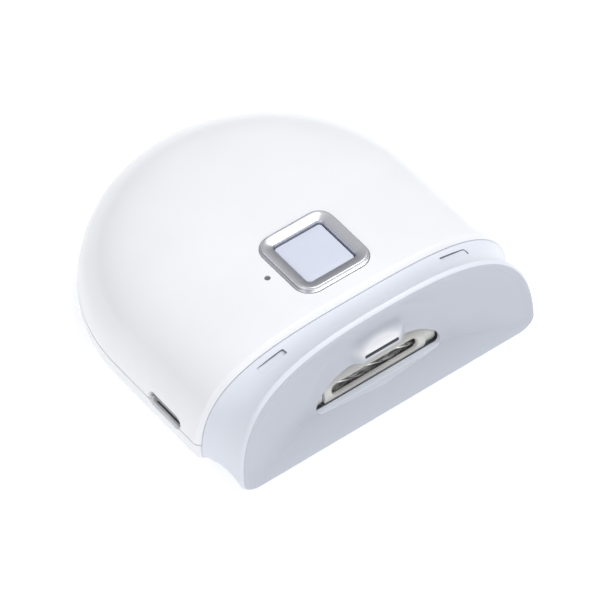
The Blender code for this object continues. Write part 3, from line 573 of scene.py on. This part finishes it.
def build_shells():
    top = shell_body("top_shell_skin", True)
    cuts = [ring_square(RING_HALF + 0.12, BODY_TOP - 0.85, BODY_TOP + 5),
            ring_square(COLLAR_HALF + 0.25, 10, BODY_TOP + 5),
            rod("Z", (LED_CENTRE.x, LED_CENTRE.y), LIGHT_PIPE_HOLE, 15, BODY_TOP + 5)]
    cuts += port_forms()
    apply_booleans(top, [("DIFFERENCE", form) for form in cuts])
    settle(top, "housing", "top_shell", 24.0)
    bottom = shell_body("bottom_shell_skin", False)
    cuts = []
    for number in range(1, 5):
        foot = middle(f"foot_{number}")
        cuts.append(rod("Z", (foot.x, foot.y), FOOT_RECESS, -1, 1.6, 48))
        screw = middle(f"shell_screw_{number}")
        cuts.append(rod("Z", (screw.x, screw.y), SCREW_HEAD_HOLE, -1, 2.5, 36))
        cuts.append(rod("Z", (screw.x, screw.y), SCREW_HOLE, -1, 6, 24))
    cuts += port_forms()
    apply_booleans(bottom, [("DIFFERENCE", form) for form in cuts])
    settle(bottom, "housing", "bottom_shell", 24.0)
    build_tongue()


def build_tongue():
    """The step inside the split: a thin strip that closes the view through the seam."""
    full = half_outline(**BODY_OUTLINE)
    sides = []
    for distance in (0.55, 1.3):
        above = cut_at(inset(full, distance), SPLIT_Z - 0.9, True)
        sides.append(resample(cut_at(above, SPLIT_Z + 0.9, False), 6))
    section = sides[0] + sides[1][::-1]
    rows = [[(x, s, z) for x, z in section] for s in (BODY_FRONT + 1.2, BACK_CENTRE)]
    skin = rings_to_bmesh(round_the_back(rows, section))
    tongue = make_object("shell_tongue", skin, WHITE)
    soften(tongue, 35.0)
    apply_booleans(tongue, [("DIFFERENCE", form) for form in port_forms()])
    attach(tongue, "housing")


# ---------------------------------------------------------------- front cap
def scoop_outline(radius, base):
    """Half of the scoop's arch at one radius, over a flat base with a soft corner."""
    corner = 1.2
    turn = math.asin(min((base + corner - SCOOP_BASE) / radius, 0.99))
    side = (radius * math.cos(turn), SCOOP_BASE + radius * math.sin(turn))
    points = [(0.0, base), (side[0] - corner, base)]
    points += bezier(points[-1], (side[0] - corner / 2, base), (side[0], base + corner / 2),
                     side, OUTLINE_LOW)
    for i in range(1, OUTLINE_TOP + 1):
        angle = turn + (math.pi / 2 - turn) * i / OUTLINE_TOP
        points.append((radius * math.cos(angle), SCOOP_BASE + radius * math.sin(angle)))
    points[-1] = (0.0, SCOOP_BASE + radius)
    return points


def lift(outline, depth, tilt=0.0):
    return [(x, depth + tilt * z, z) for x, z in whole(outline)]


def floor_depth(z):
    return FLOOR_DEPTH + FLOOR_TILT * (z - SCOOP_BASE)


def smooth_step(value, low, high):
    """A soft rise from 0 at low to 1 at high."""
    t = min(max((value - low) / (high - low), 0.0), 1.0)
    return t * t * (3 - 2 * t)


def hood_rise(x, z):
    """How far the work light's brow stands forward of the funnel's floor."""
    across = 1 - smooth_step(abs(x), *HOOD_SIDES)
    down = 1 - smooth_step(z, *HOOD_HEIGHTS)
    return HOOD_REACH * across * down


def step_share(z):
    """How much of the scoop's step there is at a height: none at the base."""
    return smooth_step(z, 4.0, 13.0)


def face_depth(z, stepped, sloped):
    """The rim face's depth at a height, from its depths high up and at the base."""
    return sloped + (stepped - sloped) * smooth_step(z, 5.0, 22.0)


# Inset and depth round the rim's outer edge; then inset and the two depths across its face
RIM_EDGE = ((0.0, FLARE_END), (0.06, 0.55), (0.22, 0.28), (0.45, 0.12))
RIM_FACE = ((0.7, 0.02, 0.06), (RIM_CREST, 0.0, 0.16), (1.35, 0.04, 0.34),
            (1.55, 0.14, 0.42), (1.75, 0.34, 0.52), (RIM_INNER, 0.5, 0.6))
SEAM = 0.12                 # gap that shows between the shells and the cap
FLARE_STEPS = 22
FUNNEL_STEPS = 22
BOWL_STEPS = 26
BOWL_WIDTH = 10.0


def cap_rings():
    """Rings from the end of the skirt, over the flare and the rim, into the funnel."""
    body = half_outline(**BODY_OUTLINE)
    rim = half_outline(**RIM_OUTLINE)
    neck = inset(body, NECK_INSET)
    shoulder = BODY_FRONT - SEAM
    skirt = inset(body, SKIRT_INSET)
    rings = [lift(skirt, SKIRT_END), lift(skirt, shoulder), lift(neck, shoulder)]
    for i in range(1, FLARE_STEPS):
        t = i / FLARE_STEPS
        depth = shoulder + (FLARE_END - shoulder) * t
        waist = 3 * t - 2 * t * t
        flare = t ** 1.8
        ring = [(a[0] + (b[0] - a[0]) * waist, a[1] + (b[1] - a[1]) * flare)
                for a, b in zip(neck, rim)]
        rings.append(lift(ring, depth, RIM_TILT * t))
    front = -RIM_TILT * (RIM_OUTLINE["base"] + RIM_CREST)
    for edge, depth in RIM_EDGE:
        forward = front * smooth_step(edge, 0, RIM_CREST)
        rings.append(lift(inset(rim, edge), depth + forward, RIM_TILT))
    outside = len(rings)
    for edge, stepped, sloped in RIM_FACE:
        rings.append([(x, front + face_depth(z, stepped, sloped) + RIM_TILT * z, z)
                      for x, z in whole(inset(rim, edge))])
    inner = inset(rim, RIM_INNER)
    crease = scoop_outline(SCOOP_RADIUS, SCOOP_BASE)
    for i in range(1, FUNNEL_STEPS + 1):
        t = i / FUNNEL_STEPS
        ring = []
        for (x0, z0), (x1, z1) in zip(whole(inner), whole(crease)):
            x, z = x0 + (x1 - x0) * t, z0 + (z1 - z0) * t
            high = step_share(z)
            end = floor_depth(z) - SCOOP_STEP * high
            way = (1 - high) * t + high * math.sin(t * math.pi / 2)
            start = front + face_depth(z0, *RIM_FACE[-1][1:]) + RIM_TILT * z0
            ring.append((x, start + (end - start) * way - hood_rise(x, z) * t, z))
        rings.append(ring)
    for i in range(1, BOWL_STEPS + 1):
        radius = SCOOP_RADIUS - BOWL_WIDTH * i / BOWL_STEPS
        outline = scoop_outline(radius, SCOOP_BASE + (SCOOP_RADIUS - radius) * 0.12)
        ring = []
        for x, z in whole(outline):
            wall = max((radius - 12.0) / 6.0, 0.0) ** 2.0
            step = SCOOP_STEP * step_share(z) * wall
            ring.append((x, floor_depth(z) - step - hood_rise(x, z), z))
        rings.append(ring)
    return rings, outside


def slot_outline(grow=0.0):
    """The half-moon slot as (x, z): a flat base and a shallow arch between round ends."""
    base = SCOOP_BASE - 0.2 * grow
    half = SLOT_HALF + grow
    top = SLOT_TOP + grow
    right = bezier((half - 1.0, base), (half + 0.6, base + 0.1),
                   (half + 0.2, base + 3.2), (half - 2.4, base + 5.0), 16)
    right += bezier(right[-1], (half - 5.0, base + 7.4), (6.0, top), (0.0, top), 24)
    points = [(half - 1.0, base)] + right
    return points + [(-x, z) for x, z in points[-2::-1]]


def slot_rim():
    """A cutter whose front widens, so that the slot has a soft edge."""
    rings = []
    for step in range(6):
        t = step / 5
        angle = t * math.pi / 2
        grow = SLOT_EDGE * (1 - math.sin(angle))
        sink = SLOT_EDGE * (1 - math.cos(angle))
        rings.append([(x, floor_depth(z) - SLOT_EDGE + sink - 0.05, z)
                      for x, z in slot_outline(grow)])
    rings.insert(0, [(x, 1.2, z) for x, s, z in rings[0]])
    rings.append([(x, 9.0, z) for x, s, z in rings[-1]])
    return loft(rings)


# The cap's outside, its scoop, and the painted shade for its recess walls.
CAP_MATERIALS = (CAP, CAP_INSIDE, PAINTED_RECESS_SHADE)
PAINTED_SHADE_INDEX = CAP_MATERIALS.index(PAINTED_RECESS_SHADE)


def cap_marks():
    """Two shallow rectangular recesses on top of the cap, close to its seam, with painted shade on
    their walls.
    """
    neck = inset(half_outline(**BODY_OUTLINE), NECK_INSET)
    length, width = MARK_HALF
    marks = []
    for (x0, z0), (x1, z1) in zip(neck, neck[1:]):
        if z0 > SPLIT_Z and x1 <= MARK_X < x0:
            height = z0 + (z1 - z0) * (x0 - MARK_X) / (x0 - x1)
            slope = math.atan2(z1 - z0, x0 - x1)
            for side in (-1, 1):
                corners = rounded((-length, length), (-width, width), 0.4, 6)
                outline = [(x, MARK_DEPTH + y) for x, y in corners]
                form = prism("Z", outline, -MARK_SINK, 3.0)
                # The floor keeps the cap's colour; the side walls get the painted shade.
                for face in form.data.polygons:
                    face.material_index = 0 if abs(face.normal.z) > 0.9 else PAINTED_SHADE_INDEX
                form.data.transform(Matrix.Rotation(side * slope, 4, "Y"))
                form.data.transform(Matrix.Translation((side * MARK_X * MM, 0, height * MM)))
                marks.append(form)
    return marks


def cap_skin():
    rings, outside = cap_rings()
    cap = make_object("front_cap_skin", rings_to_bmesh(rings))
    for material in CAP_MATERIALS:
        cap.data.materials.append(material)
    # Faces 0 and 1 close the skirt's end and the bowl; the rings' own faces follow
    first_inside = 2 + len(rings[0]) * (outside - 1)
    for number, face in enumerate(cap.data.polygons):
        face.material_index = 1 if number >= first_inside or number == 1 else 0
    return cap


def cap_room():
    """The hollow behind the funnel's floor, and its deeper part over the lower wall."""
    back = SKIRT_END + 5
    outline = half_outline(**CAVITY_OUTLINE)
    hollow = loft([[(x, floor_depth(z) + FLOOR_WALL, z) for x, z in whole(outline)],
                   lift(outline, back)])
    depth, height = FLOOR_DEPTH + 0.8, SCOOP_BASE - 0.6
    slope = 0.816
    wedge = [(depth, SCOOP_BASE + 2), (depth, height),
             (depth + (CAVITY_BASE - height) * slope, CAVITY_BASE),
             (back, CAVITY_BASE), (back, SCOOP_BASE + 2)]
    return hollow, prism("X", wedge, -CAVITY_HALF, CAVITY_HALF)


def build_cap():
    cap = cap_skin()
    steps = [("DIFFERENCE", form) for form in cap_room()]
    steps += [("DIFFERENCE", rod("X", CUTTER, GUARD_RADIUS + GAP, -CHEEK_X, CHEEK_X, 96)),
              ("DIFFERENCE", slot_rim())]
    for side in ("left", "right"):
        magnet = middle(f"cap_magnet_{side}")
        spot = (magnet.x, magnet.z)
        steps.append(("UNION", rod("Y", spot, MAGNET_BOSS, FLOOR_DEPTH, MAGNET_FACE)))
        steps.append(("DIFFERENCE", rod("Y", spot, MAGNET_POCKET, MAGNET_FACE - MAGNET_LENGTH,
                                        20.0)))
    opening = prism("Y", rounded((-SLIT_HALF, SLIT_HALF), SLIT_HEIGHTS, 0.44), 1.0, 8.0)
    # The slit's walls get the painted shade.
    for face in opening.data.polygons:
        face.material_index = PAINTED_SHADE_INDEX
    lens_room = box((-5.3, 5.3), (LENS_LOW.y - 0.25, 9.0), (14.3, 17.0))
    steps += [("DIFFERENCE", form) for form in [opening, lens_room] + cap_marks()]
    apply_booleans(cap, steps)
    settle(cap, "cap", "front_cap", 42.0)


# ---------------------------------------------------------------- bezel and button
def ring_line(half):
    """The ring's outline at one height, with its straight sides divided."""
    parts = 14
    corners = square(half, 16)
    points = []
    for a, b in zip(corners, corners[1:] + corners[:1]):
        count = parts if math.dist(a, b) > 2.0 else 1
        for i in range(count):
            points.append((a[0] + (b[0] - a[0]) * i / count,
                           RING_CENTRE.y + a[1] + (b[1] - a[1]) * i / count))
    return points


def build_bezel():
    top = BODY_TOP
    crest = RING_HIGH.z
    step = RING_HALF - 0.36
    outer = [(RING_HALF, top - 0.6), (RING_HALF, top + 0.02), (RING_HALF - 0.05, top + 0.12),
             (RING_HALF - 0.14, top + 0.17), (step + 0.08, top + 0.18), (step + 0.02, top + 0.12),
             (step - 0.02, top + 0.12), (step - 0.04, top + 0.22)]
    rise = bezier(outer[-1], (step - 0.04, crest - 0.06), (8.2, crest), (7.98, crest), 12)
    fall = bezier(rise[-1], (7.6, crest), (6.8, crest - 0.2), (RING_WINDOW + 0.1, crest - 0.55), 12)
    inner = [(RING_WINDOW + 0.03, crest - 0.6), (RING_WINDOW, crest - 0.7),
             (RING_WINDOW, RING_LOW.z), (COLLAR_HALF, RING_LOW.z), (COLLAR_HALF, top - 0.6)]
    rings = []
    for half, z in outer + rise + fall + inner:
        rings.append([(x, s, z) for x, s in ring_line(half)])
    bezel = make_object("button_bezel_skin", rings_to_bmesh(rings, closed=True), CHROME)
    settle(bezel, "housing", "button_bezel", 50.0)


def build_button():
    half = BUTTON_HALF
    base = BUTTON_LOW.z
    ledge = base + FLANGE_HEIGHT
    top = BUTTON_HIGH.z
    rings = []
    for edge, z in ((BUTTON_FLANGE, base), (BUTTON_FLANGE, ledge), (half, ledge),
                    (half, top - 0.25), (half - 0.04, top - 0.12), (half - 0.12, top - 0.04),
                    (half - 0.25, top)):
        rings.append([(x, RING_CENTRE.y + y, z) for x, y in square(edge, 14)])
    for share in (0.7, 0.35):
        rings.append([(x * share, RING_CENTRE.y + y * share, top)
                      for x, y in square(half - 0.25, 14)])
    button = make_object("power_button_skin", rings_to_bmesh(rings), BUTTON)
    settle(button, "button", "power_button", 50.0)


# ---------------------------------------------------------------- cutter and guard
def tilted(form):
    """Turn an upright form into the guard window's direction, about the cutter's axis."""
    form.data.transform(Matrix.Translation(-place(0, 0, 0)))
    form.data.transform(Matrix.Rotation(math.radians(WINDOW_TURN), 4, "X"))
    form.data.transform(Matrix.Translation(place(0, *CUTTER)))
    return form


def build_guard():
    length = GUARD_HIGH.x
    start, end = (math.radians(angle) for angle in GUARD_ARC)
    rings = []
    for x, shave in ((-length, 0.18), (-length + 0.06, 0.06), (-length + 0.2, 0.0),
                     (length - 0.2, 0.0), (length - 0.06, 0.06), (length, 0.18)):
        band = circle(CUTTER, GUARD_RADIUS - shave, 56, start, end - start)
        band += circle(CUTTER, GUARD_RADIUS - GUARD_WALL, 56, start, end - start)[::-1]
        rings.append([(x, s, z) for s, z in band])
    guard = make_object("cutter_guard_skin", rings_to_bmesh(rings), GUARD)
    roof = CUTTER[1] + GUARD_RADIUS
    rear = GUARD_HIGH.y
    shelf = box((-length, length), (CUTTER[0] - 0.4, rear), (roof - GUARD_WALL, roof - 0.01))
    tab = box((-8.0, 8.0), (rear - 1.1, rear), (roof - GUARD_WALL, GUARD_HIGH.z))
    window = []
    for grow, height in ((0.0, 2.5), (0.0, GUARD_RADIUS - 0.42), (0.10, GUARD_RADIUS - 0.2),
                         (0.35, GUARD_RADIUS + 0.02), (0.5, GUARD_RADIUS + 0.8)):
        across, along = (half + grow for half in WINDOW_HALF)
        outline = rounded((-across, across), (-along, along), 1.28 + grow, 14)
        window.append([(x, s, height) for x, s in outline])
    steps = [("UNION", shelf), ("UNION", tab), ("DIFFERENCE", tilted(loft(window)))]
    for number in (1, 2):
        screw = middle(f"guard_screw_{number}")
        steps.append(("DIFFERENCE", rod("Y", (screw.x, screw.z), 0.9, 0, 30, 24)))
    apply_booleans(guard, steps)
    settle(guard, "housing", "cutter_guard", 30.0)


def build_drum():
    """Eight helical flutes: a narrow land, a sharp fall and a serrated relief."""
    flutes = 8
    steps = 96
    turn = math.radians(150)
    radius = DRUM_HIGH.z - CUTTER[1]
    root = radius - 0.78
    half = DRUM_HIGH.x
    ripples = 5
    relief = 0.32
    tooth = [(0.0, radius), (0.05, radius), (0.10, radius), (0.14, radius - 0.10),
             (0.24, radius - 0.62), (relief, root)]
    for i in range(1, ripples * 2 + 1):
        share = relief + 0.64 * i / (ripples * 2 + 1)
        serration = 0.05 if i % 2 else 0.0
        tooth.append((share, root + 0.62 * (share - relief) - serration))
    rings = []
    for i in range(steps + 1):
        x = -half + 2 * half * i / steps
        ring = []
        for flute in range(flutes):
            for share, reach in tooth:
                angle = 2 * math.pi * (flute + share) / flutes + turn * i / steps
                ring.append((x, CUTTER[0] + reach * math.cos(angle),
                             CUTTER[1] + reach * math.sin(angle)))
        rings.append(ring)
    drum = make_object("cutter_drum_skin", rings_to_bmesh(rings), CUTTER_STEEL)
    drum.data.materials.append(CUTTING_EDGE)
    end_faces = 2
    for number, face in enumerate(drum.data.polygons):
        land = (number - end_faces) % len(tooth) < 2
        face.material_index = 1 if number >= end_faces and land else 0
    hole = rod("X", CUTTER, 1.06, -20, 20, 48)
    apply_booleans(drum, [("DIFFERENCE", hole)])
    settle(drum, "cutter", "cutter_drum", 25.0)


# ---------------------------------------------------------------- CAD nodes that stay
FINISHES = {
    "shell_screw": STEEL, "board_screw": STEEL, "cover_screw": STEEL, "guard_screw": STEEL,
    "foot": RUBBER, "cap_magnet": NICKEL, "frame_magnet": NICKEL, "battery_tab": NICKEL,
    "battery_cell": WRAP, "battery_foam_pad": FOAM, "bearing": STEEL, "cutter_shaft": STEEL,
    "motor_can": STEEL, "motor_clamp": STEEL, "motor_shaft": STEEL, "motor_pinion": STEEL,
    "idler_pin": STEEL, "charging_port_shell": DARK_STEEL, "charging_port_tongue": BLACK,
    "main_board": BOARD, "charging_board": BOARD, "work_light_board": BOARD,
    "control_chip": BLACK, "charging_chip": BLACK, "tact_switch": BLACK,
    "switch_plunger": BLACK, "motor_end_cap": BLACK, "cutter_gear": ACETAL,
    "idler_gear": ACETAL, "drive_frame": FRAME_PLASTIC, "gear_cover": FRAME_PLASTIC,
    "work_light_lens": DARK_LENS, "work_light_led": CLEAR, "status_led": CLEAR,
    "indicator_light_pipe": SMOKED,
}
EDGE_WIDTHS = {"drive_frame": 0.14, "foot": 0.35, "shell_screw": 0.08, "gear_cover": 0.2,
               "motor_clamp": 0.1, "guard_screw": 0.06}


def finish_cad_nodes():
    """Repaint each CAD node that still shows, and soften the edges of the bigger ones."""
    for name, node in frame["nodes"].items():
        if node.hide_render:
            continue
        material = next(m for stem, m in FINISHES.items() if name.startswith(stem))
        if not node.material_slots:
            node.data.materials.append(material)
        for slot in node.material_slots:
            slot.material = material
        for stem, width in EDGE_WIDTHS.items():
            if name.startswith(stem):
                weld = node.modifiers.new("weld", "WELD")
                weld.merge_threshold = 0.002 * MM
                bevel = node.modifiers.new("edge", "BEVEL")
                bevel.width = width * MM
                bevel.segments = 2
                bevel.limit_method = "ANGLE"
                bevel.angle_limit = math.radians(40)


# ---------------------------------------------------------------- stage
CAMERA_AZIMUTH = -36.78
CAMERA_ELEVATION = 48.0
CAMERA_ROLL = -0.81
CAMERA_DISTANCE = 916.7
CAMERA_TARGET = (-4.59, 23.21, 15.0)
CAMERA_LENS = 284.78
LIGHT_SIZE = 0.7


def direction(azimuth, elevation):
    """The way towards a point seen from the object, with azimuth 0 straight in front."""
    a, e = math.radians(azimuth), math.radians(elevation)
    return Vector((math.sin(a) * math.cos(e), -math.cos(a) * math.cos(e), math.sin(e)))


def build_camera():
    data = bpy.data.cameras.new("view")
    data.lens = CAMERA_LENS
    data.sensor_width = 36.0
    data.clip_start = 0.05
    data.clip_end = 20.0
    camera = bpy.data.objects.new("view", data)
    bpy.context.scene.collection.objects.link(camera)
    back = direction(CAMERA_AZIMUTH, CAMERA_ELEVATION)
    camera.location = place(*CAMERA_TARGET) + back * CAMERA_DISTANCE * MM
    level = (-back).to_track_quat("-Z", "Y")
    camera.rotation_mode = "QUATERNION"
    camera.rotation_quaternion = level @ Matrix.Rotation(
        math.radians(CAMERA_ROLL), 3, "Z").to_quaternion()
    bpy.context.scene.camera = camera


def area_light(name, azimuth, elevation, distance, power):
    data = bpy.data.lights.new(name, "AREA")
    data.shape = "SQUARE"
    data.size = LIGHT_SIZE
    data.energy = power
    lamp = bpy.data.objects.new(name, data)
    bpy.context.scene.collection.objects.link(lamp)
    way = direction(azimuth, elevation)
    lamp.location = way * distance
    lamp.rotation_mode = "QUATERNION"
    lamp.rotation_quaternion = (-way).to_track_quat("-Z", "Y")


def build_floor():
    bm = bmesh.new()
    bmesh.ops.create_grid(bm, x_segments=8, y_segments=8, size=3.0)
    recipe = Recipe("pale_paper", 0.9)
    recipe.colour(recipe.noise(40.0), (0.90, 0.90, 0.905), (0.92, 0.92, 0.925))
    recipe.bump(recipe.noise(1200.0), 0.01)
    recipe.set(Emission_Color=(1.0, 1.0, 1.0, 1.0), Emission_Strength=0.35)
    make_object("studio_floor", bm, recipe.material)


def build_world():
    """A studio that is dim below and bright above."""
    world = bpy.data.worlds.new("studio")
    bpy.context.scene.world = world
    world.use_nodes = True
    sky = world.node_tree
    background = sky.nodes["Background"]
    ramp = sky.nodes.new("ShaderNodeValToRGB")
    ramp.color_ramp.elements[0].color = (0.20, 0.205, 0.22, 1.0)
    ramp.color_ramp.elements[1].color = (0.64, 0.645, 0.66, 1.0)
    height = sky.nodes.new("ShaderNodeSeparateXYZ")
    sky.links.new(sky.nodes.new("ShaderNodeTexCoord").outputs["Generated"], height.inputs[0])
    sky.links.new(height.outputs["Z"], ramp.inputs["Fac"])
    sky.links.new(ramp.outputs["Color"], background.inputs["Color"])


def build_lights():
    area_light("overhead", 75.0, 66.0, 1.2, 7.4)
    area_light("left", -75.0, 35.0, 1.3, 2.2)
    area_light("front", -5.0, 45.0, 1.3, 2.0)
    bpy.context.scene.view_settings.view_transform = "Standard"
    bpy.context.scene.view_settings.look = "None"


build_camera()
build_floor()
build_world()
build_lights()
build_shells()
build_cap()
build_bezel()
build_button()
build_guard()
build_drum()
finish_cad_nodes()
